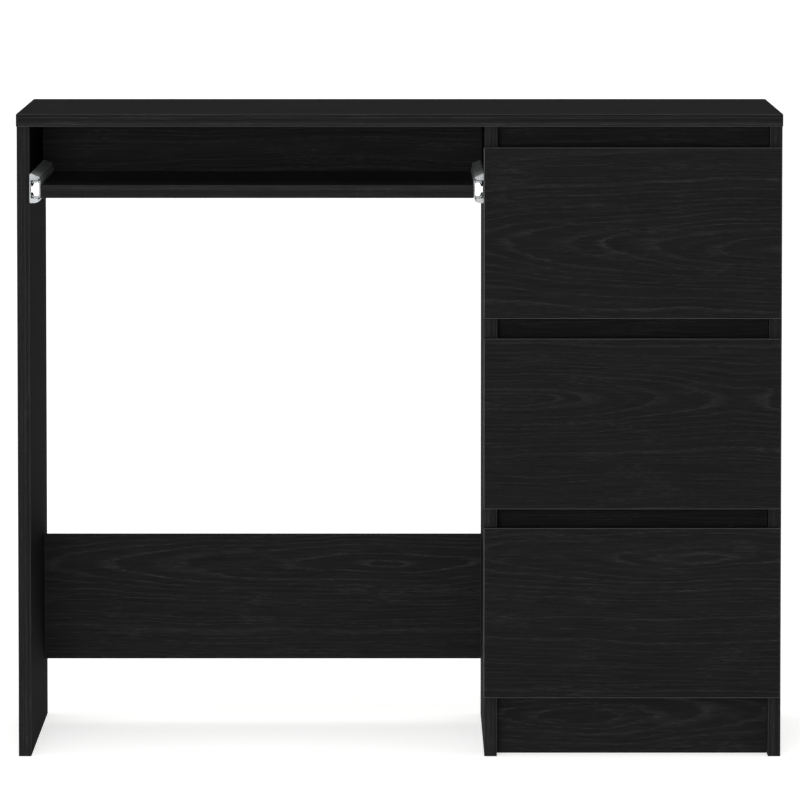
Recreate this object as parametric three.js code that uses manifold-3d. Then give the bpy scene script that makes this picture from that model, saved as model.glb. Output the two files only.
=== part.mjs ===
// Computer desk with a sliding keyboard tray and a three-drawer unit.
// Millimetres, +Z up, front towards -Y, origin on the floor under the middle of the desktop.

import * as THREE from 'three';
import { mergeVertices } from 'three/addons/utils/BufferGeometryUtils.js';
import Module from 'manifold-3d';

// ---- Driving dimensions -------------------------------------------------------------------

const deskWidth = 900;
const deskDepth = 450;
const deskHeight = 760;
const boardThickness = 15;
const hardboardThickness = 3;

const panelSetback = 16; // front edges of the upright panels behind the desktop's front edge
const kneeSpaceWidth = 535;
const kneePanelSetback = 370; // front faces of the two panels at the back of the knee space
const upperKneePanelHeight = 99;
const lowerKneePanelHeight = 152.7;
const lowerKneePanelBottom = 77;

const railSetback = 50; // front faces of the rails behind the finger gaps
const railHeight = 60;
const plinthHeight = 80;
const backPanelBottom = 40;

const frontOverhangLeft = 1.2; // the fronts reach this far past the divider's outer face
const frontRevealRight = 0.8; // and stop this far inside the right panel's outer face
const frontHeight = 201;
const fingerGaps = { top: 24.5, middle: 23.7, bottom: 22.6 }; // open height above each front

const boxBoardThickness = 12;
const boxHeight = 130;
const boxDepth = 400;
const boxRiseInFront = 26; // the box's lower edge above the front's lower edge
const grooveDepth = 6;
const grooveHeightAboveEdge = 8;
const grooveClearance = 0.3;

const trayTop = 675.5;
const traySetback = 15;
const trayDepth = 345;

const slideSpace = 12.6; // clear width that one ball-bearing slide takes beside a drawer or tray
const slideSheet = 1.2; // thickness of the rolled steel
const slideBendRadius = 1.1;
const traySlideLength = 349;
const traySlideSetback = 17;
const traySlideCentre = 670.8;
const drawerSlideLength = 400;
const drawerSlideSetback = 19;
const cageSheet = 0.8;
const cageSlack = 3; // how much shorter a ball cage is than the length its slide keeps overlapped
const trayTravel = 250;
const drawerTravel = 290;
const endStopLength = 14;

const screwHoleRadius = 2.2;
const screwHoleSides = 12;
const screwHoleInset = 35; // from each end of a slide member
const bendSteps = 3;

// ---- Derived positions --------------------------------------------------------------------

const left = -deskWidth / 2;
const right = deskWidth / 2;
const front = -deskDepth / 2;
const underside = deskHeight - boardThickness;
const kneeLeft = left + boardThickness;
const kneeRight = kneeLeft + kneeSpaceWidth;
const unitLeft = kneeRight;
const baysLeft = unitLeft + boardThickness;
const baysRight = right - boardThickness;
const panelBack = front + deskDepth - hardboardThickness;

// Distances "behind the front edge" become Y values.
const behind = (setback) => front + setback;

// Each front hangs below its finger gap, and each gap below the board or front above it.
const drawers = [];
Object.entries(fingerGaps).forEach(([level, gap]) => {
  const above = drawers.length > 0 ? drawers[drawers.length - 1].frontBottom : underside;
  const frontTop = above - gap;
  const frontBottom = frontTop - frontHeight;
  drawers.push({ level, gap, frontTop, frontBottom, boxBottom: frontBottom + boxRiseInFront });
});

// ---- Materials ----------------------------------------------------------------------------

const blackOak = () => new THREE.MeshStandardMaterial({ color: 0x242424, roughness: 0.5, metalness: 0 });
const greyBoard = () => new THREE.MeshStandardMaterial({ color: 0x3a3a3a, roughness: 0.6, metalness: 0 });
const hardboard = () => new THREE.MeshStandardMaterial({ color: 0x4a3a2c, roughness: 0.8, metalness: 0 });
const zincSteel = () => new THREE.MeshStandardMaterial({ color: 0xb4b7ba, roughness: 0.3, metalness: 1 });
const whitePlastic = () => new THREE.MeshStandardMaterial({ color: 0xf0f0ee, roughness: 0.4, metalness: 0 });

// ---- Solids -------------------------------------------------------------------------------

const wasm = await Module();
wasm.setup();

// A closed, vertex-merged copy of a geometry as a solid that can be cut.
function toSolid(geometry) {
  const plain = geometry.clone();
  plain.deleteAttribute('normal');
  plain.deleteAttribute('uv');
  const merged = mergeVertices(plain, 1e-4);
  const vertProperties = new Float32Array(merged.attributes.position.array);
  const triVerts = new Uint32Array(merged.index.array);
  return new wasm.Manifold(new wasm.Mesh({ numProp: 3, vertProperties, triVerts }));
}

function toGeometry(solid) {
  const mesh = solid.getMesh();
  const geometry = new THREE.BufferGeometry();
  geometry.setAttribute('position', new THREE.BufferAttribute(new Float32Array(mesh.vertProperties), 3));
  geometry.setIndex(new THREE.BufferAttribute(new Uint32Array(mesh.triVerts), 1));
  const flat = geometry.toNonIndexed();
  flat.computeVertexNormals();
  return flat;
}

function cut(geometry, cutters) {
  return toGeometry(cutters.reduce((solid, cutter) => solid.subtract(toSolid(cutter)), toSolid(geometry)));
}

// A box given by its lowest and highest X, Y and Z.
function boxBetween([x0, x1], [y0, y1], [z0, z1]) {
  const geometry = new THREE.BoxGeometry(x1 - x0, y1 - y0, z1 - z0);
  return geometry.translate((x0 + x1) / 2, (y0 + y1) / 2, (z0 + z1) / 2);
}

function addMesh(group, name, geometry, material) {
  const mesh = new THREE.Mesh(geometry, material);
  mesh.name = name;
  group.add(mesh);
}

function addBoard(group, name, xRange, yRange, zRange, material = blackOak()) {
  addMesh(group, name, boxBetween(xRange, yRange, zRange), material);
}

// ---- Slide members: strips of sheet rolled into a C ---------------------------------------

// Replaces each inner corner of a line by a short arc of the given radius.
function roundCorners(points, radius) {
  const line = [points[0]];
  for (let i = 1; i < points.length - 1; i += 1) {
    const corner = points[i];
    const toPrevious = points[i - 1].clone().sub(corner).normalize();
    const toNext = points[i + 1].clone().sub(corner).normalize();
    const halfAngle = Math.acos(toPrevious.dot(toNext)) / 2;
    const setback = radius / Math.tan(halfAngle);
    const start = corner.clone().addScaledVector(toPrevious, setback);
    const end = corner.clone().addScaledVector(toNext, setback);
    const arc = new THREE.QuadraticBezierCurve(start, corner, end);
    line.push(...arc.getPoints(bendSteps));
  }
  line.push(points[points.length - 1]);
  return line;
}

// The outline of a strip of constant thickness that follows a centreline.
function stripOutline(line, thickness) {
  const leftSide = [];
  const rightSide = [];
  line.forEach((point, i) => {
    const before = line[Math.max(i - 1, 0)];
    const after = line[Math.min(i + 1, line.length - 1)];
    const along = after.clone().sub(before).normalize();
    const across = new THREE.Vector2(-along.y, along.x).multiplyScalar(thickness / 2);
    leftSide.push(point.clone().add(across));
    rightSide.unshift(point.clone().sub(across));
  });
  return [...leftSide, ...rightSide];
}

// A C-shaped centreline from its upper free lip round the web to its lower one.
// Each half is given from its lip to the web; without a lower half the upper one is mirrored.
function channelLine(upperHalf, lowerHalf = upperHalf) {
  const upper = upperHalf.map(([across, up]) => new THREE.Vector2(across, up));
  const lower = lowerHalf.map(([across, down]) => new THREE.Vector2(across, -down)).reverse();
  return roundCorners([...upper, ...lower], slideBendRadius);
}

// Sections are drawn as distance from the panel against height above or below the row of screws.
// The fixed member's two ball races are alike, and its web stands taller above them than below.
const raceHalf = [[11.1, 12.0], [10.8, 14.0], [7.0, 15.4]];
const fixedSection = stripOutline(
  channelLine([...raceHalf, [slideSheet / 2, 18.5]], [...raceHalf, [slideSheet / 2, 15.8]]),
  slideSheet,
);
const movingSection = stripOutline(
  channelLine([[3.6, 7.4], [4.6, 9.2], [slideSpace - slideSheet / 2, 9.2]]),
  slideSheet,
);
const cageSection = stripOutline(
  channelLine([[9.6, 12.0], [2.2, 13.0]]),
  cageSheet,
);
const stopHalf = [[2.1, 3.6], [4.2, 3.6], [5.6, 7.8], [9.8, 8.2], [11.1, 6.9]];
const stopSection = [
  ...stopHalf.map(([across, up]) => new THREE.Vector2(across, up)),
  ...stopHalf.map(([across, up]) => new THREE.Vector2(across, -up)).reverse(),
];

// Extrudes a section backwards from setback, standing off a panel face at wallX.
// towards is +1 where the slide is on the panel's right and -1 where it is on its left.
function extrudeSection(section, { wallX, towards, centreZ, setback, length }) {
  const outline = section.map((point) => new THREE.Vector2(point.x * towards, point.y));
  const geometry = new THREE.ExtrudeGeometry(new THREE.Shape(outline), {
    depth: length,
    bevelEnabled: false,
  });
  geometry.rotateX(Math.PI / 2);
  return geometry.translate(wallX, behind(setback + length), centreZ);
}

// Round screw holes through a web, one near each end and one in the middle.
function screwHoles({ wallX, towards, centreZ, setback, length }, webMiddle) {
  const places = [screwHoleInset, length / 2, length - screwHoleInset];
  return places.map((place) => {
    const hole = new THREE.CylinderGeometry(screwHoleRadius, screwHoleRadius, 4 * slideSheet, screwHoleSides);
    hole.rotateZ(Math.PI / 2);
    return hole.translate(wallX + towards * webMiddle, behind(setback + place), centreZ);
  });
}

// One complete slide: fixed member on the panel, ball cage, moving member and its end stop.
function addSlide(group, prefix, place) {
  const cageLength = place.length - place.travel - cageSlack;
  const cagePlace = {
    ...place,
    setback: place.setback + (place.length - cageLength) / 2,
    length: cageLength,
  };
  const stopPlace = { ...place, length: endStopLength };
  const fixedMember = cut(extrudeSection(fixedSection, place), screwHoles(place, slideSheet / 2));
  const movingWeb = slideSpace - slideSheet / 2;
  const movingMember = cut(extrudeSection(movingSection, place), screwHoles(place, movingWeb));
  addMesh(group, `${prefix}_fixed_member`, fixedMember, zincSteel());
  addMesh(group, `${prefix}_moving_member`, movingMember, zincSteel());
  addMesh(group, `${prefix}_ball_cage`, extrudeSection(cageSection, cagePlace), zincSteel());
  addMesh(group, `${prefix}_end_stop`, extrudeSection(stopSection, stopPlace), whitePlastic());
}

function addSlidePair(group, prefix, wallLeft, wallRight, place) {
  addSlide(group, `${prefix}_left_slide`, { ...place, wallX: wallLeft, towards: 1 });
  addSlide(group, `${prefix}_right_slide`, { ...place, wallX: wallRight, towards: -1 });
}

// ---- Carcass ------------------------------------------------------------------------------

function buildCarcass() {
  const carcass = new THREE.Group();
  const panelDepth = [behind(panelSetback), panelBack];
  const panelHeight = [0, underside];
  addBoard(carcass, 'desktop', [left, right], [front, -front], [underside, deskHeight]);
  addBoard(carcass, 'left_side_panel', [left, kneeLeft], panelDepth, panelHeight);
  addBoard(carcass, 'divider_panel', [unitLeft, baysLeft], panelDepth, panelHeight);
  addBoard(carcass, 'right_side_panel', [baysRight, right], panelDepth, panelHeight);

  const kneeX = [kneeLeft, kneeRight];
  const kneeY = [behind(kneePanelSetback), behind(kneePanelSetback) + boardThickness];
  const lowerPanelTop = lowerKneePanelBottom + lowerKneePanelHeight;
  addBoard(carcass, 'upper_knee_panel', kneeX, kneeY, [underside - upperKneePanelHeight, underside]);
  addBoard(carcass, 'lower_knee_panel', kneeX, kneeY, [lowerKneePanelBottom, lowerPanelTop]);

  const bayX = [baysLeft, baysRight];
  const railY = [behind(railSetback), behind(railSetback) + boardThickness];
  addBoard(carcass, 'top_rail', bayX, railY, [underside - railHeight, underside]);
  drawers.slice(1).forEach(({ level, gap, frontTop }) => {
    const middle = frontTop + gap / 2;
    addBoard(carcass, `${level}_gap_rail`, bayX, railY, [middle - railHeight / 2, middle + railHeight / 2]);
  });
  addBoard(carcass, 'plinth', bayX, railY, [0, plinthHeight]);

  const backY = [panelBack, panelBack + hardboardThickness];
  addBoard(carcass, 'drawer_unit_back', [unitLeft, right], backY, [backPanelBottom, underside], hardboard());
  return carcass;
}

// ---- Keyboard tray ------------------------------------------------------------------------

function buildTray() {
  const tray = new THREE.Group();
  const trayX = [kneeLeft + slideSpace, kneeRight - slideSpace];
  const trayY = [behind(traySetback), behind(traySetback + trayDepth)];
  addBoard(tray, 'keyboard_tray', trayX, trayY, [trayTop - boardThickness, trayTop]);
  addSlidePair(tray, 'tray', kneeLeft, kneeRight, {
    centreZ: traySlideCentre,
    setback: traySlideSetback,
    length: traySlideLength,
    travel: trayTravel,
  });
  return tray;
}

// ---- Drawers ------------------------------------------------------------------------------

// A front, two sides and a back of board, with a hardboard bottom that floats in a groove.
function buildDrawer({ level, frontTop, frontBottom, boxBottom }) {
  const drawer = new THREE.Group();
  const name = `${level}_drawer`;
  const boxLeft = baysLeft + slideSpace;
  const boxRight = baysRight - slideSpace;
  const boxFront = behind(boardThickness);
  const boxBack = boxFront + boxDepth;
  const bottomZ = boxBottom + grooveHeightAboveEdge;
  const bottomTop = bottomZ + hardboardThickness;
  const bottomReach = grooveDepth - grooveClearance;
  const innerLeft = boxLeft + boxBoardThickness;
  const innerRight = boxRight - boxBoardThickness;

  const groove = boxBetween(
    [innerLeft - grooveDepth, innerRight + grooveDepth],
    [boxFront - grooveDepth, boxBack + grooveDepth],
    [bottomZ - grooveClearance, bottomTop + grooveClearance],
  );
  const boxZ = [boxBottom, boxBottom + boxHeight];
  const sideY = [boxFront, boxBack];
  const frontX = [unitLeft - frontOverhangLeft, right - frontRevealRight];
  const frontSolid = boxBetween(frontX, [front, boxFront], [frontBottom, frontTop]);
  addMesh(drawer, `${name}_front`, cut(frontSolid, [groove]), blackOak());
  const sideBoard = (sideX) => cut(boxBetween(sideX, sideY, boxZ), [groove]);
  addMesh(drawer, `${name}_left_side`, sideBoard([boxLeft, innerLeft]), greyBoard());
  addMesh(drawer, `${name}_right_side`, sideBoard([innerRight, boxRight]), greyBoard());
  addBoard(drawer, `${name}_back`, [innerLeft, innerRight], [boxBack - boxBoardThickness, boxBack],
    [bottomTop + grooveClearance, boxBottom + boxHeight], greyBoard());
  addBoard(drawer, `${name}_bottom`, [innerLeft - bottomReach, innerRight + bottomReach],
    [boxFront - bottomReach, boxBack], [bottomZ, bottomTop], hardboard());
  addSlidePair(drawer, name, baysLeft, baysRight, {
    centreZ: boxBottom + boxHeight / 2,
    setback: drawerSlideSetback,
    length: drawerSlideLength,
    travel: drawerTravel,
  });
  return drawer;
}

// ---- Desk ---------------------------------------------------------------------------------

const desk = new THREE.Group();
desk.add(buildCarcass());
desk.add(buildTray());
drawers.forEach((drawer) => desk.add(buildDrawer(drawer)));

export default desk;
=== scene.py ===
import math

import bmesh
import bpy
from mathutils import Matrix, Vector


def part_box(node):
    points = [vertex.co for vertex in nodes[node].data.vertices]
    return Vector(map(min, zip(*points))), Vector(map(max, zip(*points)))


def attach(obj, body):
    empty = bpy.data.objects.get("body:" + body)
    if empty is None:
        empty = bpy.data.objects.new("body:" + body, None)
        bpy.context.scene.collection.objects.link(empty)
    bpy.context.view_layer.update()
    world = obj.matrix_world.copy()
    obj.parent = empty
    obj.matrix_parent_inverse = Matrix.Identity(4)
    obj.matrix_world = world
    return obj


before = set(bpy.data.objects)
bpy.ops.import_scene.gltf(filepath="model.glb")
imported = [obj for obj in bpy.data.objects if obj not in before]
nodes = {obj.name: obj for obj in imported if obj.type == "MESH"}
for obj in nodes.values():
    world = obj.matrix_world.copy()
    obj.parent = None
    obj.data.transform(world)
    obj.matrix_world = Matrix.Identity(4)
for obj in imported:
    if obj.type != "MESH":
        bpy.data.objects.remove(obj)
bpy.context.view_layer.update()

mm = 0.001
print("frame loaded,", len(nodes), "nodes")


# --- camera: a long lens, a little above the desktop ---

viewpoint = {
    "lens": 353.2,
    "sensor": 36.0,
    "inFront": 9.2,  # metres before the desktop's front edge
    "height": 1.1397,
    "sideways": 0.0005,
    "tiltDown": 4.45,
    "farClip": 200.0,
}


def makeCamera(v):
    camera = bpy.data.cameras.new("long_lens")
    camera.lens = v["lens"]
    camera.sensor_width = v["sensor"]
    camera.clip_end = v["farClip"]
    camera.dof.use_dof = False
    holder = bpy.data.objects.new("long_lens", camera)
    bpy.context.scene.collection.objects.link(holder)
    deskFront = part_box("desktop")[0].y
    holder.location = (v["sideways"], deskFront - v["inFront"], v["height"])
    holder.rotation_euler = (math.radians(90 - v["tiltDown"]), 0, 0)
    bpy.context.scene.camera = holder


makeCamera(viewpoint)
print("camera placed")


# --- colours and nodes ---

def fromHex(text):
    # sRGB hex to linear
    channels = [int(text[i:i + 2], 16) / 255 for i in (1, 3, 5)]
    linear = [c / 12.92 if c <= 0.04045 else ((c + 0.055) / 1.055) ** 2.4 for c in channels]
    return (*linear, 1.0)


def addNode(tree, kind, inputs=None, **settings):
    # settings go on the node, inputs are values or sockets to link
    node = tree.nodes.new(kind)
    for name, value in settings.items():
        setattr(node, name, value)
    for socket, value in (inputs or {}).items():
        if isinstance(value, bpy.types.NodeSocket):
            tree.links.new(value, node.inputs[socket])
        else:
            node.inputs[socket].default_value = value
    return node


def newMaterial(name):
    material = bpy.data.materials.new(name)
    material.use_nodes = True
    tree = material.node_tree
    tree.nodes.clear()
    return material, tree


def finishMaterial(tree, shader):
    output = addNode(tree, "ShaderNodeOutputMaterial")
    tree.links.new(shader.outputs["BSDF"], output.inputs["Surface"])


# --- black oak foil: a printed and embossed melamine face on particle board ---
# The print is a plain-sawn oak board. Rings show as nested cathedrals where the cut is
# nearly flat to them and as close straight lines to the sides. Everything below is in mm.

foilPrint = {
    "ringWidth": 5.4,
    "wanderLength": 210.0,  # how slowly the figure drifts along the grain
    "wanderWidth": 80.0,
    "wander": 13.0,
    "turnLength": 14.0,  # how bluntly the cut turns back at the middle of a figure
    "rippleLength": 48.0,
    "rippleWidth": 8.0,
    "ripple": 3.4,
    "unevenRings": 7.5,
    "faintestRing": 0.25,
    "softHeart": 22.0,
    "bandAtHeart": 0.62,
    "bandAtSides": 0.4,
    "patchLength": 85.0,
    "patchWidth": 15.0,
    "loosePores": 0.36,
    "poreLength": 11.0,
    "poreWidth": 0.8,  # real pores are about 0.3 mm, drawn coarser so that they show
    "streakLength": 60.0,
    "streakWidth": 2.0,
    "unevenRate": 0.55,  # how fast ring widths change, in parts of a ring
    "bandRise": 0.12,  # a band starts sharply and fades slowly, in parts of a ring
    "bandFadeFrom": 0.1,
    "poreRange": (0.42, 0.66),  # ranges of the noises between nothing and full
    "streakRange": (0.35, 0.7),
    "comeAndGoRange": (0.35, 0.6),
    "loosePoreRange": (0.5, 0.68),
    "faintestBand": 0.5,
    "poresBetween": 0.3,
    "seedSteps": {"ripple": 3.0, "pores": 5.0, "streaks": 7.0, "patches": 9.0},
}


def makeFoilPrint(p):
    group = bpy.data.node_groups.new("oak_foil_print", "ShaderNodeTree")
    for name in ("Along", "Across", "Heart", "Middle", "Depth", "Slope", "Seed"):
        group.interface.new_socket(name, in_out="INPUT", socket_type="NodeSocketFloat")
    for name in ("Figure", "Pores", "Tone"):
        group.interface.new_socket(name, in_out="OUTPUT", socket_type="NodeSocketFloat")
    given = addNode(group, "NodeGroupInput").outputs

    # slow drift of the whole figure across the board
    driftAt = addNode(group, "ShaderNodeCombineXYZ", {
        "X": given["Along"], "Y": given["Across"], "Z": given["Seed"]})
    driftScaled = addNode(group, "ShaderNodeVectorMath", {
        0: driftAt.outputs[0], 1: (1 / p["wanderLength"], 1 / p["wanderWidth"], 1.0)}, operation="MULTIPLY")
    drift = addNode(group, "ShaderNodeTexNoise", {
        "Vector": driftScaled.outputs[0], "Scale": 1.0, "Detail": 1.5, "Roughness": 0.5})
    driftSide = addNode(group, "ShaderNodeMapRange", {
        "Value": drift.outputs[0], "To Min": -p["wander"], "To Max": p["wander"]}, clamp=False)
    fromHeart = addNode(group, "ShaderNodeMath", {0: given["Across"], 1: given["Heart"]},
                        operation="SUBTRACT")
    aside = addNode(group, "ShaderNodeMath", {0: fromHeart.outputs[0], 1: driftSide.outputs[0]},
                    operation="ADD")

    # how far the cut runs from the pith at this place along the board
    fromMiddle = addNode(group, "ShaderNodeMath", {0: given["Along"], 1: given["Middle"]},
                         operation="SUBTRACT")
    squared = addNode(group, "ShaderNodeMath", {
        0: fromMiddle.outputs[0], 1: fromMiddle.outputs[0], 2: p["turnLength"] ** 2},
        operation="MULTIPLY_ADD")
    distance = addNode(group, "ShaderNodeMath", {0: squared.outputs[0]}, operation="SQRT")
    depth = addNode(group, "ShaderNodeMath", {
        0: distance.outputs[0], 1: given["Slope"], 2: given["Depth"]}, operation="MULTIPLY_ADD")
    asideSquared = addNode(group, "ShaderNodeMath", {0: aside.outputs[0], 1: aside.outputs[0]},
                           operation="MULTIPLY")
    radiusSquared = addNode(group, "ShaderNodeMath", {
        0: depth.outputs[0], 1: depth.outputs[0], 2: asideSquared.outputs[0]}, operation="MULTIPLY_ADD")
    radius = addNode(group, "ShaderNodeMath", {0: radiusSquared.outputs[0]}, operation="SQRT")

    # rings ripple, and no two are of the same width
    rippleScaled = addNode(group, "ShaderNodeVectorMath", {
        0: driftAt.outputs[0],
        1: (1 / p["rippleLength"], 1 / p["rippleWidth"], p["seedSteps"]["ripple"])}, operation="MULTIPLY")
    ripple = addNode(group, "ShaderNodeTexNoise", {
        "Vector": rippleScaled.outputs[0], "Scale": 1.0, "Detail": 3.0, "Roughness": 0.6})
    rippled = addNode(group, "ShaderNodeMath", {
        0: ripple.outputs[0], 1: p["ripple"], 2: radius.outputs[0]}, operation="MULTIPLY_ADD")
    unevenAt = addNode(group, "ShaderNodeMath", {
        0: rippled.outputs[0], 1: p["unevenRate"] / p["ringWidth"], 2: given["Seed"]},
        operation="MULTIPLY_ADD")
    uneven = addNode(group, "ShaderNodeTexNoise", {"W": unevenAt.outputs[0], "Scale": 1.0, "Detail": 0.0},
                     noise_dimensions="1D")
    ringed = addNode(group, "ShaderNodeMath", {
        0: uneven.outputs[0], 1: p["unevenRings"], 2: rippled.outputs[0]}, operation="MULTIPLY_ADD")
    counted = addNode(group, "ShaderNodeMath", {0: ringed.outputs[0], 1: p["ringWidth"]}, operation="DIVIDE")
    phase = addNode(group, "ShaderNodeMath", {0: counted.outputs[0]}, operation="FRACT")

    # each ring starts with a band of open pores, wider and softer near the heart, and fainter
    # in some rings than in others
    whichRing = addNode(group, "ShaderNodeMath", {0: counted.outputs[0]}, operation="FLOOR")
    ringChance = addNode(group, "ShaderNodeTexWhiteNoise", {"W": whichRing.outputs[0]},
                         noise_dimensions="1D")
    ringStrength = addNode(group, "ShaderNodeMapRange", {
        "Value": ringChance.outputs["Value"], "To Min": p["faintestRing"], "To Max": 1.0})
    besideHeart = addNode(group, "ShaderNodeMath", {0: aside.outputs[0]}, operation="ABSOLUTE")
    bandEnd = addNode(group, "ShaderNodeMapRange", {
        "Value": besideHeart.outputs[0], "From Max": p["softHeart"],
        "To Min": p["bandAtHeart"], "To Max": p["bandAtSides"]}, interpolation_type="SMOOTHSTEP")
    rise = addNode(group, "ShaderNodeMapRange", {"Value": phase.outputs[0], "From Max": p["bandRise"]},
                   interpolation_type="SMOOTHSTEP")
    fall = addNode(group, "ShaderNodeMapRange", {
        "Value": phase.outputs[0], "From Min": p["bandFadeFrom"], "From Max": bandEnd.outputs[0],
        "To Min": 1.0, "To Max": 0.0}, interpolation_type="SMOOTHSTEP")
    evenBand = addNode(group, "ShaderNodeMath", {0: rise.outputs[0], 1: fall.outputs[0]},
                       operation="MULTIPLY")
    band = addNode(group, "ShaderNodeMath", {0: evenBand.outputs[0], 1: ringStrength.outputs[0]},
                   operation="MULTIPLY")

    poreScaled = addNode(group, "ShaderNodeVectorMath", {
        0: driftAt.outputs[0],
        1: (1 / p["poreLength"], 1 / p["poreWidth"], p["seedSteps"]["pores"])}, operation="MULTIPLY")
    poreNoise = addNode(group, "ShaderNodeTexNoise", {
        "Vector": poreScaled.outputs[0], "Scale": 1.0, "Detail": 2.0, "Roughness": 0.5})
    pores = addNode(group, "ShaderNodeMapRange", {
        "Value": poreNoise.outputs[0], "From Min": p["poreRange"][0], "From Max": p["poreRange"][1]},
        interpolation_type="SMOOTHSTEP")
    streakScaled = addNode(group, "ShaderNodeVectorMath", {
        0: driftAt.outputs[0],
        1: (1 / p["streakLength"], 1 / p["streakWidth"], p["seedSteps"]["streaks"])}, operation="MULTIPLY")
    streaks = addNode(group, "ShaderNodeTexNoise", {
        "Vector": streakScaled.outputs[0], "Scale": 1.0, "Detail": 2.5, "Roughness": 0.6})
    streakTone = addNode(group, "ShaderNodeMapRange", {
        "Value": streaks.outputs[0], "From Min": p["streakRange"][0], "From Max": p["streakRange"][1]})

    # pores fill the bands, the bands come and go along the board, and loose patches lie between
    poresInBand = addNode(group, "ShaderNodeMapRange", {
        "Value": pores.outputs[0], "To Min": p["poresBetween"], "To Max": 1.0})
    patchScaled = addNode(group, "ShaderNodeVectorMath", {
        0: driftAt.outputs[0],
        1: (1 / p["patchLength"], 1 / p["patchWidth"], p["seedSteps"]["patches"])}, operation="MULTIPLY")
    patches = addNode(group, "ShaderNodeTexNoise", {
        "Vector": patchScaled.outputs[0], "Scale": 1.0, "Detail": 2.0, "Roughness": 0.5})
    comeAndGo = addNode(group, "ShaderNodeMapRange", {
        "Value": patches.outputs[0], "From Min": p["comeAndGoRange"][0],
        "From Max": p["comeAndGoRange"][1], "To Min": 1.0, "To Max": p["faintestBand"]})
    loosePatch = addNode(group, "ShaderNodeMapRange", {
        "Value": patches.outputs[0], "From Min": p["loosePoreRange"][0],
        "From Max": p["loosePoreRange"][1], "To Max": p["loosePores"]}, interpolation_type="SMOOTHSTEP")
    loose = addNode(group, "ShaderNodeMath", {0: loosePatch.outputs[0], 1: pores.outputs[0]},
                    operation="MULTIPLY")
    figureDense = addNode(group, "ShaderNodeMath", {0: band.outputs[0], 1: poresInBand.outputs[0]},
                          operation="MULTIPLY")
    figure = addNode(group, "ShaderNodeMath", {
        0: figureDense.outputs[0], 1: comeAndGo.outputs[0], 2: loose.outputs[0]}, operation="MULTIPLY_ADD")
    result = addNode(group, "NodeGroupOutput")
    group.links.new(figure.outputs[0], result.inputs["Figure"])
    group.links.new(pores.outputs[0], result.inputs["Pores"])
    group.links.new(streakTone.outputs[0], result.inputs["Tone"])
    return group


oakPrint = makeFoilPrint(foilPrint)

blackOak = {
    "denseWood": fromHex("#0f0f0f"),
    "openWood": fromHex("#262626"),
    "streakShare": 0.20,
    "poreShare": 0.07,
    "roughness": 0.78,
    "shine": 0.05,
    "roughnessSpread": 0.12,
    "emboss": 0.05 * mm,
    "edgeOffset": 140.0,  # edge tape is printed with close straight grain
    "edgeStretch": 1.7,
    "bandPitch": 4.5,  # the tape is printed with straight bands, this far apart
    "bandShare": 0.5,
    "bandRange": (0.3, 0.7),
    "facing": 0.7,  # a face counts as facing an axis above this part of its normal
    "evenPaleEdgeAndHighlight": 0.012,  # how much paler every edge is painted, in linear light: partly scraped tape, partly a painted highlight
    "flatEnough": 0.97,
}


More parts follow.
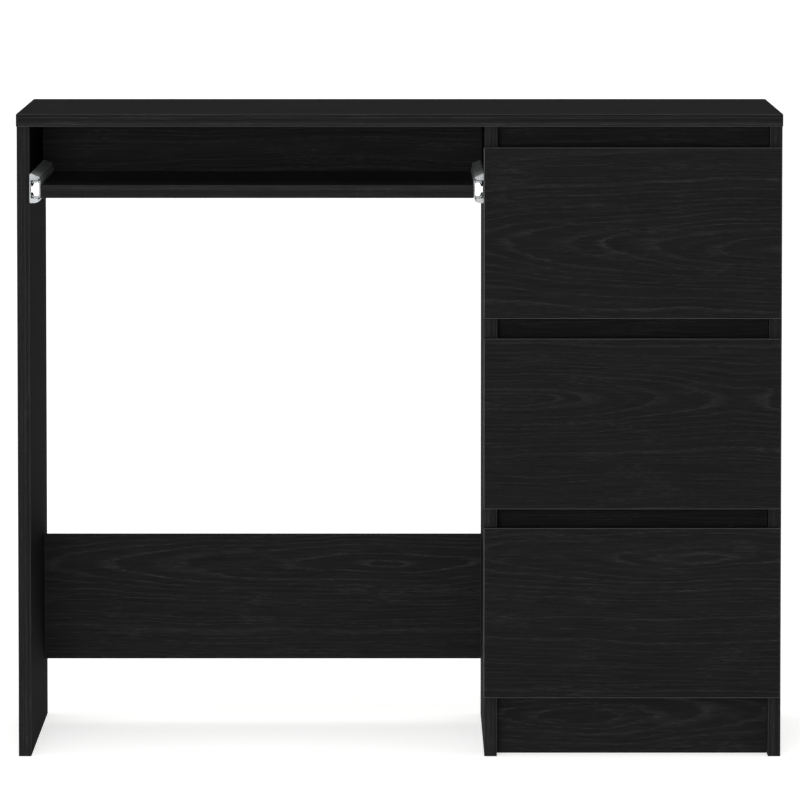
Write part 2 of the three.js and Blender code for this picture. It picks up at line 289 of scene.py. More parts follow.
def blackOakFoil(name, axes, figure, shade=1.0, tapePaintedLight=1.0, paleEdgeAndHighlight=blackOak["evenPaleEdgeAndHighlight"], satin=None):
    # near black, satin, with greyer open grain that also stands a little rougher; satin gives a
    # face its own roughness and specular level
    m = blackOak
    material, tree = newMaterial(name)
    coordinates = addNode(tree, "ShaderNodeTexCoord")
    inMm = addNode(tree, "ShaderNodeVectorMath", {0: coordinates.outputs["Object"], "Scale": 1000.0},
                   operation="SCALE")
    place = addNode(tree, "ShaderNodeSeparateXYZ", {0: inMm.outputs[0]}).outputs
    facing = addNode(tree, "ShaderNodeSeparateXYZ", {0: coordinates.outputs["Normal"]}).outputs
    along, across, through = (place[axis] for axis in axes)

    # end faces carry tape whose grain runs across the board, long edges tape that runs along it
    endwise = addNode(tree, "ShaderNodeMath", {0: facing[axes[0]]}, operation="ABSOLUTE")
    onEnd = addNode(tree, "ShaderNodeMath", {0: endwise.outputs[0], 1: m["facing"]}, operation="GREATER_THAN")
    sidewise = addNode(tree, "ShaderNodeMath", {0: facing[axes[2]]}, operation="ABSOLUTE")
    onTape = addNode(tree, "ShaderNodeMath", {0: sidewise.outputs[0], 1: m["facing"]}, operation="LESS_THAN")
    tapePlace = addNode(tree, "ShaderNodeMath", {0: through, 1: m["edgeStretch"], 2: m["edgeOffset"]},
                        operation="MULTIPLY_ADD")
    grainAlong = addNode(tree, "ShaderNodeMix", {0: onEnd.outputs[0], 2: along, 3: across})
    grainAcross = addNode(tree, "ShaderNodeMix", {0: onTape.outputs[0], 2: across, 3: tapePlace.outputs[0]})

    oak = addNode(tree, "ShaderNodeGroup", node_tree=oakPrint)
    tree.links.new(grainAlong.outputs[0], oak.inputs["Along"])
    tree.links.new(grainAcross.outputs[0], oak.inputs["Across"])
    for socket, value in figure.items():
        oak.inputs[socket].default_value = value
    withStreaks = addNode(tree, "ShaderNodeMath", {
        0: oak.outputs["Tone"], 1: m["streakShare"], 2: oak.outputs["Figure"]}, operation="MULTIPLY_ADD")
    withPores = addNode(tree, "ShaderNodeMath", {
        0: oak.outputs["Pores"], 1: m["poreShare"], 2: withStreaks.outputs[0]}, operation="MULTIPLY_ADD")
    colour = addNode(tree, "ShaderNodeMix", {0: withPores.outputs[0], 6: m["denseWood"], 7: m["openWood"]},
                     data_type="RGBA")
    # tape has straight printed bands of its own; face and tape are then made lighter or darker per board, as
    # painted light and shade
    bandsAt = addNode(tree, "ShaderNodeMath", {
        0: through, 1: 1 / m["bandPitch"], 2: figure["Seed"]}, operation="MULTIPLY_ADD")
    bands = addNode(tree, "ShaderNodeTexNoise", {"W": bandsAt.outputs[0], "Scale": 1.0, "Detail": 2.0},
                    noise_dimensions="1D")
    bandTone = addNode(tree, "ShaderNodeMapRange", {
        "Value": bands.outputs[0], "From Min": m["bandRange"][0], "From Max": m["bandRange"][1],
        "To Min": tapePaintedLight * (1 - m["bandShare"]), "To Max": tapePaintedLight * (1 + m["bandShare"])})
    paintedLightFactor = addNode(tree, "ShaderNodeMix", {0: onTape.outputs[0], 2: shade, 3: bandTone.outputs[0]})
    shaded = addNode(tree, "ShaderNodeVectorMath", {0: colour.outputs[2], "Scale": paintedLightFactor.outputs[0]},
                     operation="SCALE")
    # every edge gets a thin paler line: partly the tape scraped flush, partly a painted highlight where the
    # arris catches light
    facingAbs = addNode(tree, "ShaderNodeVectorMath", {0: coordinates.outputs["Normal"]},
                        operation="ABSOLUTE")
    facingParts = addNode(tree, "ShaderNodeSeparateXYZ", {0: facingAbs.outputs[0]}).outputs
    mostOfTwo = addNode(tree, "ShaderNodeMath", {0: facingParts["X"], 1: facingParts["Y"]},
                        operation="MAXIMUM")
    most = addNode(tree, "ShaderNodeMath", {0: mostOfTwo.outputs[0], 1: facingParts["Z"]},
                   operation="MAXIMUM")
    onEdge = addNode(tree, "ShaderNodeMath", {0: most.outputs[0], 1: m["flatEnough"]}, operation="LESS_THAN")
    edgePaleAndHighlight = addNode(tree, "ShaderNodeMath", {0: onEdge.outputs[0], 1: paleEdgeAndHighlight}, operation="MULTIPLY")
    withEdgePaleAndHighlight = addNode(tree, "ShaderNodeVectorMath", {0: shaded.outputs[0], 1: edgePaleAndHighlight.outputs[0]},
                    operation="ADD")
    gloss, shine = satin or (m["roughness"], m["shine"])
    smoothest = addNode(tree, "ShaderNodeMix", {0: onTape.outputs[0], 2: gloss, 3: m["roughness"]})
    specular = addNode(tree, "ShaderNodeMix", {0: onTape.outputs[0], 2: shine, 3: m["shine"]})
    roughness = addNode(tree, "ShaderNodeMath", {
        0: withPores.outputs[0], 1: m["roughnessSpread"], 2: smoothest.outputs[0]}, operation="MULTIPLY_ADD")
    emboss = addNode(tree, "ShaderNodeBump", {
        "Height": withPores.outputs[0], "Distance": m["emboss"], "Strength": 1.0}, invert=True)
    shader = addNode(tree, "ShaderNodeBsdfPrincipled", {
        "Base Color": withEdgePaleAndHighlight.outputs[0], "Roughness": roughness.outputs[0],
        "Normal": emboss.outputs[0], "Specular IOR Level": specular.outputs[0]})
    finishMaterial(tree, shader)
    return material


# --- the other finishes ---

greyFoil = {
    "dark": fromHex("#2f3031"),
    "light": fromHex("#3c3d3e"),
    "weave": 1.4 * mm,
    "clouds": 18.0,  # per metre
    "toneRange": (0.12, 0.4),
    "roughness": 0.6,
    "emboss": 0.03 * mm,
}


def greyMelamine(name):
    # drawer boxes: plain dark grey foil with a fine linen-like emboss, matt
    material, tree = newMaterial(name)
    place = addNode(tree, "ShaderNodeTexCoord").outputs["Object"]
    grain = addNode(tree, "ShaderNodeTexNoise", {
        "Vector": place, "Scale": 1 / greyFoil["weave"], "Detail": 3.0, "Roughness": 0.6})
    cloud = addNode(tree, "ShaderNodeTexNoise", {"Vector": place, "Scale": greyFoil["clouds"], "Detail": 3.0})
    tone = addNode(tree, "ShaderNodeMath", {0: grain.outputs[0], 1: cloud.outputs[0]}, operation="MULTIPLY")
    spread = addNode(tree, "ShaderNodeMapRange", {
        "Value": tone.outputs[0], "From Min": greyFoil["toneRange"][0], "From Max": greyFoil["toneRange"][1]})
    colour = addNode(tree, "ShaderNodeMix", {0: spread.outputs[0], 6: greyFoil["dark"], 7: greyFoil["light"]},
                     data_type="RGBA")
    emboss = addNode(tree, "ShaderNodeBump", {
        "Height": grain.outputs[0], "Distance": greyFoil["emboss"], "Strength": 1.0})
    shader = addNode(tree, "ShaderNodeBsdfPrincipled", {
        "Base Color": colour.outputs[2], "Roughness": greyFoil["roughness"], "Normal": emboss.outputs[0]})
    finishMaterial(tree, shader)
    return material


fibreBoard = {
    "fibre": fromHex("#6b4c33"),
    "darkFibre": fromHex("#4a3322"),
    "paint": fromHex("#232323"),
    "fibreSize": 2.5 * mm,
    "screenPitch": 1.6 * mm,  # wet-side screen marks of pressed hardboard, drawn a little coarse
    "screenDepth": 0.06 * mm,
    "screenUneven": 0.15,
    "fibreRange": (0.35, 0.68),
    "bareRoughness": 0.85,
    "paintRoughness": 0.5,
}


def hardboard(name, paintedFace):
    # pressed wood fibre: dark lacquer on the face that is seen inside, brown screen-marked fibre behind
    m = fibreBoard
    axis, sign = paintedFace
    material, tree = newMaterial(name)
    coordinates = addNode(tree, "ShaderNodeTexCoord")
    place = coordinates.outputs["Object"]
    facing = addNode(tree, "ShaderNodeSeparateXYZ", {0: coordinates.outputs["Normal"]}).outputs[axis]
    towards = addNode(tree, "ShaderNodeMath", {0: facing, 1: sign}, operation="MULTIPLY")
    painted = addNode(tree, "ShaderNodeMath", {0: towards.outputs[0], 1: 0.5}, operation="GREATER_THAN")
    fibres = addNode(tree, "ShaderNodeTexNoise", {
        "Vector": place, "Scale": 1 / m["fibreSize"], "Detail": 5.0, "Roughness": 0.7, "Distortion": 1.2})
    fibreTone = addNode(tree, "ShaderNodeMapRange", {
        "Value": fibres.outputs[0], "From Min": m["fibreRange"][0], "From Max": m["fibreRange"][1]})
    bare = addNode(tree, "ShaderNodeMix", {0: fibreTone.outputs[0], 6: m["darkFibre"], 7: m["fibre"]},
                   data_type="RGBA")
    colour = addNode(tree, "ShaderNodeMix", {0: painted.outputs[0], 6: bare.outputs[2], 7: m["paint"]},
                     data_type="RGBA")
    screen = addNode(tree, "ShaderNodeTexVoronoi", {"Vector": place, "Scale": 1 / m["screenPitch"],
                                                    "Randomness": m["screenUneven"]})
    unpainted = addNode(tree, "ShaderNodeMath", {0: 1.0, 1: painted.outputs[0]}, operation="SUBTRACT")
    marks = addNode(tree, "ShaderNodeMath", {0: screen.outputs["Distance"], 1: unpainted.outputs[0]},
                    operation="MULTIPLY")
    relief = addNode(tree, "ShaderNodeBump", {"Height": marks.outputs[0], "Distance": m["screenDepth"]})
    roughness = addNode(tree, "ShaderNodeMapRange", {
        "Value": painted.outputs[0], "To Min": m["bareRoughness"], "To Max": m["paintRoughness"]})
    shader = addNode(tree, "ShaderNodeBsdfPrincipled", {
        "Base Color": colour.outputs[2], "Roughness": roughness.outputs[0], "Normal": relief.outputs[0]})
    finishMaterial(tree, shader)
    return material


zinc = {
    "colour": fromHex("#eceff0"),
    "dull": fromHex("#cfd3d5"),
    "shearedAndShadedEnds": fromHex("#7d8082"),
    "rollLength": 60 * mm,
    "rollWidth": 0.35 * mm,
    "emboss": 0.01 * mm,
    "stains": 45.0,  # per metre
    "stainRange": (0.42, 0.7),
    "metallic": 0.12,  # well below real metal, so that faces along the slide stay pale
    "roughness": (0.4, 0.55),
    "facing": 0.7,
}


def zincPlatedStrip(name):
    # cold-rolled strip, bright zinc plated: pale, with faint roll lines along the slide
    material, tree = newMaterial(name)
    coordinates = addNode(tree, "ShaderNodeTexCoord")
    place = coordinates.outputs["Object"]
    stretched = addNode(tree, "ShaderNodeMapping", {
        "Vector": place, "Scale": (1 / zinc["rollWidth"], 1 / zinc["rollLength"], 1 / zinc["rollWidth"])})
    lines = addNode(tree, "ShaderNodeTexNoise", {"Vector": stretched.outputs[0], "Scale": 1.0, "Detail": 3.0})
    stains = addNode(tree, "ShaderNodeTexNoise", {
        "Vector": place, "Scale": zinc["stains"], "Detail": 4.0, "Roughness": 0.65})
    dullness = addNode(tree, "ShaderNodeMapRange", {
        "Value": stains.outputs[0], "From Min": zinc["stainRange"][0], "From Max": zinc["stainRange"][1]})
    colour = addNode(tree, "ShaderNodeMix", {0: dullness.outputs[0], 6: zinc["colour"], 7: zinc["dull"]},
                     data_type="RGBA")
    # the plating is thin on the sheared ends, and they are darkened further as painted shade against the
    # front light, so the ends along the slide look grey
    facing = addNode(tree, "ShaderNodeSeparateXYZ", {0: coordinates.outputs["Normal"]}).outputs["Y"]
    endwise = addNode(tree, "ShaderNodeMath", {0: facing}, operation="ABSOLUTE")
    onEnd = addNode(tree, "ShaderNodeMath", {0: endwise.outputs[0], 1: zinc["facing"]},
                    operation="GREATER_THAN")
    withBareAndShadedEnds = addNode(tree, "ShaderNodeMix", {0: onEnd.outputs[0], 6: colour.outputs[2], 7: zinc["shearedAndShadedEnds"]},
                       data_type="RGBA")
    roughness = addNode(tree, "ShaderNodeMapRange", {
        "Value": dullness.outputs[0], "To Min": zinc["roughness"][0], "To Max": zinc["roughness"][1]})
    relief = addNode(tree, "ShaderNodeBump", {"Height": lines.outputs[0], "Distance": zinc["emboss"]})
    shader = addNode(tree, "ShaderNodeBsdfPrincipled", {
        "Base Color": withBareAndShadedEnds.outputs[2], "Metallic": zinc["metallic"], "Roughness": roughness.outputs[0],
        "Normal": relief.outputs[0]})
    finishMaterial(tree, shader)
    return material


def turnedSteel(name, shade, roughness):
    # small fasteners and balls: bright or dark steel with a faintly uneven polish
    material, tree = newMaterial(name)
    place = addNode(tree, "ShaderNodeTexCoord").outputs["Object"]
    polish = addNode(tree, "ShaderNodeTexNoise", {"Vector": place, "Scale": 900.0, "Detail": 3.0})
    spread = addNode(tree, "ShaderNodeMapRange", {
        "Value": polish.outputs[0], "To Min": roughness * 0.7, "To Max": roughness * 1.3})
    tone = addNode(tree, "ShaderNodeMapRange", {"Value": polish.outputs[0], "To Min": 0.8, "To Max": 1.1})
    colour = addNode(tree, "ShaderNodeVectorMath", {0: fromHex(shade)[:3], "Scale": tone.outputs[0]},
                     operation="SCALE")
    shader = addNode(tree, "ShaderNodeBsdfPrincipled", {
        "Base Color": colour.outputs[0], "Metallic": 1.0, "Roughness": spread.outputs[0]})
    finishMaterial(tree, shader)
    return material


def mouldedPlastic(name, shade, roughness, grain):
    # injection moulded part: even colour, slight gloss, a trace of mould texture
    material, tree = newMaterial(name)
    place = addNode(tree, "ShaderNodeTexCoord").outputs["Object"]
    texture = addNode(tree, "ShaderNodeTexNoise", {"Vector": place, "Scale": 1 / grain, "Detail": 4.0})
    tone = addNode(tree, "ShaderNodeMapRange", {"Value": texture.outputs[0], "To Min": 0.93, "To Max": 1.03})
    colour = addNode(tree, "ShaderNodeVectorMath", {0: fromHex(shade)[:3], "Scale": tone.outputs[0]},
                     operation="SCALE")
    spread = addNode(tree, "ShaderNodeMapRange", {
        "Value": texture.outputs[0], "To Min": roughness * 0.85, "To Max": roughness * 1.15})
    relief = addNode(tree, "ShaderNodeBump", {"Height": texture.outputs[0], "Distance": 0.02 * mm})
    shader = addNode(tree, "ShaderNodeBsdfPrincipled", {
        "Base Color": colour.outputs[0], "Roughness": spread.outputs[0], "Normal": relief.outputs[0]})
    finishMaterial(tree, shader)
    return material


zincStrip = zincPlatedStrip("bright_zinc_plated_rolled_steel")
drawerBoxFoil = greyMelamine("dark_grey_melamine_foil")
backHardboard = hardboard("lacquered_hardboard_upright", ("Y", -1.0))
bottomHardboard = hardboard("lacquered_hardboard_flat", ("Z", 1.0))
whiteAcetal = mouldedPlastic("moulded_white_acetal", "#eeeeea", 0.38, 1.2 * mm)
clearRubber = mouldedPlastic("moulded_grey_polyurethane", "#9a9a96", 0.3, 0.8 * mm)
zincScrew = turnedSteel("zinc_plated_screw_steel", "#c9cbcc", 0.32)
ballSteel = turnedSteel("polished_bearing_steel", "#d6d8da", 0.14)
darkNail = turnedSteel("blued_nail_steel", "#4c4f55", 0.42)
castZinc = turnedSteel("die_cast_zinc", "#a9adb0", 0.45)
print("finishes made")


# --- boards: grain direction, and where the heart of each print lies ---
# axes are along the grain, across it and through the board; the rest is in mm

flatBoard = ("X", "Y", "Z")
uprightSide = ("Z", "Y", "X")
uprightFront = ("X", "Z", "Y")


def heartAt(heart, middle, depth, slope, seed):
    return {"Heart": heart, "Middle": middle, "Depth": depth, "Slope": slope, "Seed": seed}


boards = {
    "desktop": (flatBoard, heartAt(20, -80, 6, 0.07, 2.3)),
    "keyboard_tray": (flatBoard, heartAt(-60, -150, 8, 0.08, 9.1)),
    "left_side_panel": (uprightSide, heartAt(10, 300, 6, 0.08, 4.7)),
    "divider_panel": (uprightSide, heartAt(-30, 420, 4, 0.07, 6.2)),
    "right_side_panel": (uprightSide, heartAt(25, 360, 5, 0.08, 8.4)),
    "upper_knee_panel": (uprightFront, heartAt(600, -100, 30, 0.05, 3.6)),
    "lower_knee_panel": (uprightFront, heartAt(194, -20, 3, 0.075, 5.5)),
    "top_rail": (uprightFront, heartAt(600, 200, 40, 0.05, 1.9)),
    "middle_gap_rail": (uprightFront, heartAt(600, 200, 40, 0.05, 7.7)),
    "bottom_gap_rail": (uprightFront, heartAt(100, 200, 40, 0.05, 2.8)),
    "plinth": (uprightFront, heartAt(46, 210, 20, 0.08, 3.1)),
    "top_drawer_front": (uprightFront, heartAt(606, 480, 2, 0.105, 4.1)),
    "middle_drawer_front": (uprightFront, heartAt(424, 400, 32, -0.12, 5.2)),
    "bottom_drawer_front": (uprightFront, heartAt(238, 355, 3, 0.075, 5.9)),
}

softEdges = {
    "boardRound": 0.8 * mm,  # edge tape is scraped to a small radius
    "thinBoardRound": 0.3 * mm,
    "stripRound": 0.15 * mm,
    "plasticRound": 0.5 * mm,
    "segments": 2,
    "fromAngle": 40.0,
    "weld": 0.01 * mm,
}


def softenEdges(node, width, fromAngle=softEdges["fromAngle"]):
    weld = node.modifiers.new("join_corners", "WELD")
    weld.merge_threshold = softEdges["weld"]
    bevel = node.modifiers.new("soft_edges", "BEVEL")
    bevel.width = width
    bevel.segments = softEdges["segments"]
    bevel.limit_method = "ANGLE"
    bevel.angle_limit = math.radians(fromAngle)
    bevel.harden_normals = False


def dress(node, material, width):
    node.data.materials.clear()
    node.data.materials.append(material)
    softenEdges(node, width)


# the two factors per board below multiply the plain foil's colour on a board's face and on its tape; they are
# painted light and shade, fitted to how grey each board should look in this light: lighter where this light
# reaches a board too little, darker where it reaches it too much, and are not measured paint values
paintedLightAndSatin = {
    "desktop": {"shade": 1.9, "tapePaintedLight": 1.2},
    "keyboard_tray": {"shade": 2.2, "tapePaintedLight": 1.2, "satin": (0.35, 0.5)},  # catches light at a low angle
    "left_side_panel": {"shade": 0.8, "tapePaintedLight": 1.25, "satin": (0.85, 0.02)},
    "divider_panel": {"tapePaintedLight": 1.3},
    "right_side_panel": {"tapePaintedLight": 1.3},
    "upper_knee_panel": {"shade": 1.7},
    "lower_knee_panel": {"shade": 1.2},
    "plinth": {"shade": 1.1},
}
# painted shade: the drawer fronts are darkened a little, and their edges get a stronger painted highlight
for level, shade in (("top", 0.84), ("middle", 0.85), ("bottom", 0.9)):
    paintedLightAndSatin[level + "_drawer_front"] = {"shade": shade, "paleEdgeAndHighlight": 0.045}

for name, (axes, figure) in boards.items():
    foil = blackOakFoil("black_oak_foil_" + name, axes, figure, **paintedLightAndSatin.get(name, {}))
    dress(nodes[name], foil, softEdges["boardRound"])
for name, node in nodes.items():
    if name in boards:
        continue
    if name.endswith(("fixed_member", "moving_member", "ball_cage")):
        dress(node, zincStrip, softEdges["stripRound"])
    elif name.endswith("end_stop"):
        dress(node, whiteAcetal, softEdges["plasticRound"])
    elif name == "drawer_unit_back":
        dress(node, backHardboard, softEdges["thinBoardRound"])
    elif name.endswith("drawer_bottom"):
        dress(node, bottomHardboard, softEdges["thinBoardRound"])
    else:
        dress(node, drawerBoxFoil, softEdges["boardRound"])
print("boards and slides dressed")


# --- small hardware ---

def turned(shape, profile, steps):
    # spins a profile of (radius, height) pairs about Z
    points = [shape.verts.new((radius, 0, height)) for radius, height in profile]
    edges = [shape.edges.new(pair) for pair in zip(points, points[1:])]
    bmesh.ops.spin(shape, geom=points + edges, cent=(0, 0, 0), axis=(0, 0, 1), angle=math.tau,
                   steps=steps, use_merge=True, use_duplicate=False)
    bmesh.ops.remove_doubles(shape, verts=shape.verts, dist=0.001 * mm)


def crossOutline(shape, arm, half, height):
    # the plus-shaped mouth of a cross recess
    corner = [(arm, -half), (arm, half), (half, half)]
    turns = [(1, 0), (0, 1), (-1, 0), (0, -1)]
    points = [(x * c - y * s, x * s + y * c) for c, s in turns for x, y in corner]
    mouth = [shape.verts.new((x, y, height)) for x, y in points]
    return [shape.edges.new(pair) for pair in zip(mouth, mouth[1:] + mouth[:1])]


def hexOutline(shape, size, height):
    ring = bmesh.ops.create_circle(shape, cap_ends=False, segments=6, radius=size)
    bmesh.ops.translate(shape, verts=ring["verts"], vec=(0, 0, height))
    return list({edge for vert in ring["verts"] for edge in vert.link_edges})


def headWithRecess(h):
    # a turned head with a cross or hexagon sunk into its top
    shape = bmesh.new()
    turned(shape, h["profile"], h["steps"])
    top = h["profile"][-1][1]
    rim = [edge for edge in shape.edges if edge.is_boundary]
    if h["recess"] == "cross":
        mouth = crossOutline(shape, h["arm"], h["half"], top)
    else:
        mouth = hexOutline(shape, h["arm"], top)
    bmesh.ops.bridge_loops(shape, edges=rim + mouth)
    sunk = bmesh.ops.extrude_edge_only(shape, edges=mouth)["geom"]
    floor = [item for item in sunk if isinstance(item, bmesh.types.BMVert)]
    bmesh.ops.translate(shape, verts=floor, vec=(0, 0, -h["sink"]))
    bmesh.ops.scale(shape, verts=floor, vec=(0.8, 0.8, 1.0))
    floorEdges = [item for item in sunk if isinstance(item, bmesh.types.BMEdge) and item.is_boundary]
    bmesh.ops.edgeloop_fill(shape, edges=floorEdges)
    bmesh.ops.recalc_face_normals(shape, faces=shape.faces)
    return shape


def plainHead(h):
    shape = bmesh.new()
    turned(shape, h["profile"], h["steps"])
    bmesh.ops.recalc_face_normals(shape, faces=shape.faces)
    for face in shape.faces:
        face.smooth = h.get("smooth", False)
    return shape


def addCopies(name, shape, places, outwards, material, body):
    # one object holding a copy of the shape at each place, its +Z turned outwards
    mesh = bpy.data.meshes.new(name)
    source = bpy.data.meshes.new(name + "_single")
    shape.to_mesh(source)
    shape.free()
    gathered = bmesh.new()
    turn = Vector(outwards).to_track_quat("Z", "Y").to_matrix().to_4x4()
    for place in places:
        before = len(gathered.verts)
        gathered.from_mesh(source)
        gathered.verts.ensure_lookup_table()
        bmesh.ops.transform(gathered, matrix=Matrix.Translation(place) @ turn, verts=gathered.verts[before:])
    gathered.to_mesh(mesh)
    gathered.free()
    bpy.data.meshes.remove(source)
    mesh.materials.append(material)
    piece = bpy.data.objects.new(name, mesh)
    bpy.context.scene.collection.objects.link(piece)
    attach(piece, body)
    return piece


slideScrew = {
    "profile": [(0, 0), (3.3 * mm, 0), (3.4 * mm, 0.25 * mm), (3.1 * mm, 0.5 * mm), (2.6 * mm, 0.58 * mm)],
    "steps": 24, "recess": "cross", "arm": 1.7 * mm, "half": 0.4 * mm, "sink": 0.4 * mm,
    "fromEnd": 35 * mm,  # as the holes in the strip
}
runnerScrew = {
    "profile": [(0, 0), (3.4 * mm, 0), (3.5 * mm, 0.6 * mm), (3.0 * mm, 1.3 * mm), (2.3 * mm, 1.6 * mm)],
    "steps": 24, "recess": "cross", "arm": 1.6 * mm, "half": 0.4 * mm, "sink": 1.1 * mm,
}
ballRow = {
    "diameter": 4.4 * mm, "pitch": 8.5 * mm, "fromWall": 8.0 * mm, "fromCentre": 12.0 * mm,
}
strip = {"sheet": 1.2 * mm, "space": 12.6 * mm}
frontTab = {
    # folded across both ball races at the front end, clear of the runner between them;
    # distance from the wall and height from the row of screws, in mm
    "thickness": 0.8 * mm,
    "upper": [(1.1, 10.6), (9.9, 10.6), (9.9, 13.6), (7.0, 14.7), (1.1, 17.5)],
    "lower": [(1.1, -15.0), (7.0, -14.8), (9.9, -13.6), (9.9, -10.6), (1.1, -10.6)],
}


def slideBalls():
    shape = bmesh.new()
    bmesh.ops.create_icosphere(shape, subdivisions=2, radius=ballRow["diameter"] / 2)
    for face in shape.faces:
        face.smooth = True
    return shape


def addFrontTabs(slide, wall, towards, front, centre):
    mesh = bpy.data.meshes.new(slide + "_front_tabs")
    shape = bmesh.new()
    for outline in (frontTab["upper"], frontTab["lower"]):
        points = [shape.verts.new((wall + towards * x * mm, front, centre + z * mm)) for x, z in outline]
        face = shape.faces.new(points)
        folded = bmesh.ops.extrude_face_region(shape, geom=[face], use_keep_orig=True)["geom"]
        back = [item for item in folded if isinstance(item, bmesh.types.BMVert)]
        bmesh.ops.translate(shape, verts=back, vec=(0, frontTab["thickness"], 0))
    bmesh.ops.recalc_face_normals(shape, faces=shape.faces)
    shape.to_mesh(mesh)
    shape.free()
    mesh.materials.append(zincStrip)
    tabs = bpy.data.objects.new(slide + "_front_tabs", mesh)
    bpy.context.scene.collection.objects.link(tabs)
    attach(tabs, "carcass")


def addSlideHardware(prefix, side):
    slide = f"{prefix}_{side}_slide"
    low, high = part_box(slide + "_fixed_member")
    towards = 1 if side == "left" else -1
    wall = low.x if side == "left" else high.x
    runnerLow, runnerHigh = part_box(slide + "_moving_member")
    centre = (runnerLow.z + runnerHigh.z) / 2
    rows = [low.y + slideScrew["fromEnd"], (low.y + high.y) / 2, high.y - slideScrew["fromEnd"]]
    onWall = [(wall + towards * strip["sheet"], y, centre) for y in rows]
    onRunner = [(wall + towards * (strip["space"] - strip["sheet"]), y, centre) for y in rows]
    addCopies(slide + "_wall_screws", headWithRecess(slideScrew), onWall, (towards, 0, 0),
              zincScrew, "carcass")
    addCopies(slide + "_runner_screws", headWithRecess(runnerScrew), onRunner, (-towards, 0, 0),
              zincScrew, prefix)
    cageLow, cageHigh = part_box(slide + "_ball_cage")
    count = int((cageHigh.y - cageLow.y - ballRow["diameter"]) / ballRow["pitch"])
    start = (cageLow.y + cageHigh.y) / 2 - count * ballRow["pitch"] / 2
    race = wall + towards * ballRow["fromWall"]
    places = [(race, start + i * ballRow["pitch"], centre + up * ballRow["fromCentre"])
              for i in range(count + 1) for up in (-1, 1)]
    addCopies(slide + "_balls", slideBalls(), places, (0, 0, 1), ballSteel,
              prefix + "_ball_cages")
    addFrontTabs(slide, wall, towards, low.y, centre)


levels = ("top", "middle", "bottom")
for prefix in ("tray", *(level + "_drawer" for level in levels)):
    for side in ("left", "right"):
        addSlideHardware(prefix, side)
print("slide screws and balls placed")

backNail = {
    "profile": [(0, 0), (2.0 * mm, 0), (2.0 * mm, 0.25 * mm), (1.2 * mm, 0.5 * mm), (0, 0.58 * mm)],
    "steps": 16, "inset": 7.5 * mm, "fromCorner": 25 * mm, "upright": 6,
}


def addBackNails():
    low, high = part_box("drawer_unit_back")
    bottom, top = low.z + backNail["fromCorner"], high.z - backNail["fromCorner"]
    rise = (top - bottom) / (backNail["upright"] - 1)
    columns = (low.x + backNail["inset"], high.x - backNail["inset"])
    places = [(x, high.y, bottom + i * rise) for x in columns for i in range(backNail["upright"])]
    addCopies("drawer_unit_back_nails", plainHead(backNail), places, (0, 1, 0), darkNail,
              "carcass")


addBackNails()

camLock = {
    "profile": [(0, -0.2 * mm), (7.4 * mm, -0.2 * mm), (7.4 * mm, 0.15 * mm), (7.0 * mm, 0.4 * mm),
                (5.2 * mm, 0.4 * mm)],
    "steps": 32, "recess": "cross", "arm": 3.6 * mm, "half": 0.9 * mm, "sink": 0.35 * mm,
    "fromEdge": 34 * mm,  # the usual length of the connector bolt
    "fromTop": 22 * mm,
    "fromCentre": 29.4 * mm,  # in the drawer sides
}


def addCamLocks(board, heights):
    # eccentric cams in the hidden face, near both ends
    low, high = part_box(board)
    ends = (low.x + camLock["fromEdge"], high.x - camLock["fromEdge"])
    places = [(x, high.y, z) for x in ends for z in heights]
    addCopies(board + "_cams", headWithRecess(camLock), places, (0, 1, 0), castZinc, "carcass")


def inFromEdges(board):
    low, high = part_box(board)
    return (low.z + camLock["fromTop"], high.z - camLock["fromTop"])


for board in ("upper_knee_panel", "lower_knee_panel"):
    addCamLocks(board, inFromEdges(board))
for board in ("top_rail", "middle_gap_rail", "bottom_gap_rail", "plinth"):
    low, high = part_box(board)
    addCamLocks(board, [(low.z + high.z) / 2])

boxScrew = {
    "profile": [(0, 0), (3.5 * mm, 0), (3.5 * mm, 0.2 * mm), (3.2 * mm, 0.4 * mm), (2.9 * mm, 0.4 * mm)],
    "steps": 24, "recess": "hexagon", "arm": 2.2 * mm, "sink": 0.35 * mm,
    "fromCentre": 42 * mm, "fromBack": 6 * mm,
}


def addDrawerFasteners(level):
    drawer = level + "_drawer"
    for side, outwards in (("left", -1), ("right", 1)):
        low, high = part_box(f"{drawer}_{side}_side")
        outer, inner = (low.x, high.x) if side == "left" else (high.x, low.x)
        centre = (low.z + high.z) / 2
        backEnds = [(outer, high.y - boxScrew["fromBack"], centre + up * boxScrew["fromCentre"])
                    for up in (-1, 1)]
        addCopies(f"{drawer}_{side}_side_screws", headWithRecess(boxScrew), backEnds, (outwards, 0, 0),
                  zincScrew, drawer)
        cams = [(inner, low.y + camLock["fromEdge"], centre + up * camLock["fromCentre"]) for up in (-1, 1)]
        addCopies(f"{drawer}_{side}_side_cams", headWithRecess(camLock), cams, (-outwards, 0, 0),
                  castZinc, drawer)


bumper = {
    "profile": [(0, 0), (3.6 * mm, 0), (3.5 * mm, 0.4 * mm), (2.4 * mm, 0.75 * mm), (0, 0.85 * mm)],
    "steps": 20, "smooth": True, "fromCorner": 14 * mm,
}


def addBumpers(level):
    # soft dots on the front edges of the unit that the drawer front closes against
    frontLow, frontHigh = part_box(level + "_drawer_front")
    places = []
    for panel in ("divider_panel", "right_side_panel"):
        low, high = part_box(panel)
        middle = (low.x + high.x) / 2
        heights = (frontLow.z + bumper["fromCorner"], frontHigh.z - bumper["fromCorner"])
        places += [(middle, low.y, z) for z in heights]
    addCopies(level + "_front_bumpers", plainHead(bumper), places, (0, -1, 0), clearRubber, "carcass")


for level in levels:
    addDrawerFasteners(level)
    addBumpers(level)
print("fasteners and bumpers placed")


# --- floor, light and view ---

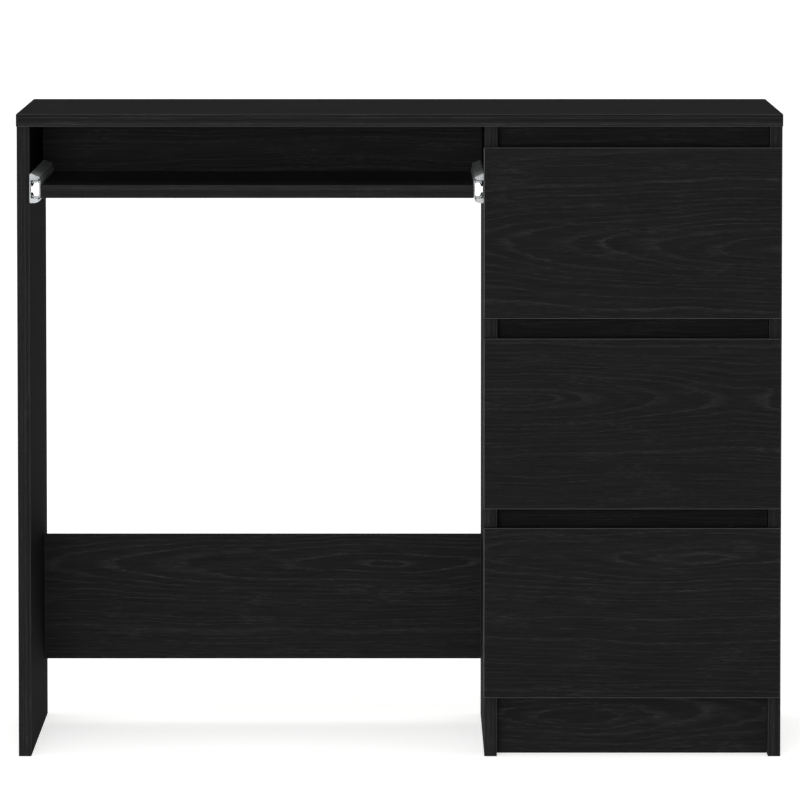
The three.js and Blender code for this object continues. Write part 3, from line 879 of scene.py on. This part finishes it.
studio = {
    "floorSize": 60.0,
    "floor": fromHex("#f4f4f2"),
    "floorGlow": 0.6,  # a lit-through floor, as under a light tent
    "horizon": 0.0,
    "zenith": 0.76,
    "skyColour": (1.0, 1.0, 1.0, 1.0),
    "skyHeights": (0.1, 0.8),  # the sky brightens between these, as parts of straight up
    "floorClouds": 0.7,  # per metre
    "floorTone": (0.985, 1.015),
    "aimHeight": 0.4,
}


def paleFloor():
    material, tree = newMaterial("matt_painted_floor")
    place = addNode(tree, "ShaderNodeTexCoord").outputs["Object"]
    cloud = addNode(tree, "ShaderNodeTexNoise", {
        "Vector": place, "Scale": studio["floorClouds"], "Detail": 2.0})
    tone = addNode(tree, "ShaderNodeMapRange", {
        "Value": cloud.outputs[0], "To Min": studio["floorTone"][0], "To Max": studio["floorTone"][1]})
    colour = addNode(tree, "ShaderNodeVectorMath", {0: studio["floor"][:3], "Scale": tone.outputs[0]},
                     operation="SCALE")
    shader = addNode(tree, "ShaderNodeBsdfPrincipled", {
        "Base Color": colour.outputs[0], "Roughness": 0.9, "Specular IOR Level": 0.1,
        "Emission Color": studio["skyColour"], "Emission Strength": studio["floorGlow"]})
    finishMaterial(tree, shader)
    mesh = bpy.data.meshes.new("floor")
    shape = bmesh.new()
    bmesh.ops.create_grid(shape, x_segments=4, y_segments=4, size=studio["floorSize"])
    shape.to_mesh(mesh)
    shape.free()
    mesh.materials.append(material)
    floor = bpy.data.objects.new("floor", mesh)
    bpy.context.scene.collection.objects.link(floor)


def softSky():
    # dark at the horizon and bright overhead, like a large light tent
    world = bpy.data.worlds.new("light_tent")
    world.use_nodes = True
    tree = world.node_tree
    tree.nodes.clear()
    direction = addNode(tree, "ShaderNodeTexCoord").outputs["Generated"]
    height = addNode(tree, "ShaderNodeSeparateXYZ", {0: direction}).outputs["Z"]
    strength = addNode(tree, "ShaderNodeMapRange", {
        "Value": height, "From Min": studio["skyHeights"][0], "From Max": studio["skyHeights"][1],
        "To Min": studio["horizon"], "To Max": studio["zenith"]}, interpolation_type="SMOOTHSTEP")
    sky = addNode(tree, "ShaderNodeBackground", {
        "Color": studio["skyColour"], "Strength": strength.outputs[0]})
    output = addNode(tree, "ShaderNodeOutputWorld")
    tree.links.new(sky.outputs[0], output.inputs[0])
    bpy.context.scene.world = world


softBoxes = {
    "low_front_softbox": {"at": (-0.5, -7.0, 0.8), "size": 1.5, "watts": 280.0},
    "high_front_softbox": {"at": (-0.5, -5.0, 2.4), "size": 3.0, "watts": 70.0},
}


def addSoftBox(name, box):
    lamp = bpy.data.lights.new(name, "AREA")
    lamp.shape = "SQUARE"
    lamp.size = box["size"]
    lamp.energy = box["watts"]
    holder = bpy.data.objects.new(name, lamp)
    bpy.context.scene.collection.objects.link(holder)
    holder.location = box["at"]
    aim = Vector((0, 0, studio["aimHeight"])) - holder.location
    holder.rotation_mode = "QUATERNION"
    holder.rotation_quaternion = aim.to_track_quat("-Z", "Y")


paleFloor()
softSky()
for name, box in softBoxes.items():
    addSoftBox(name, box)
bpy.context.scene.view_settings.view_transform = "Standard"
print("studio ready")
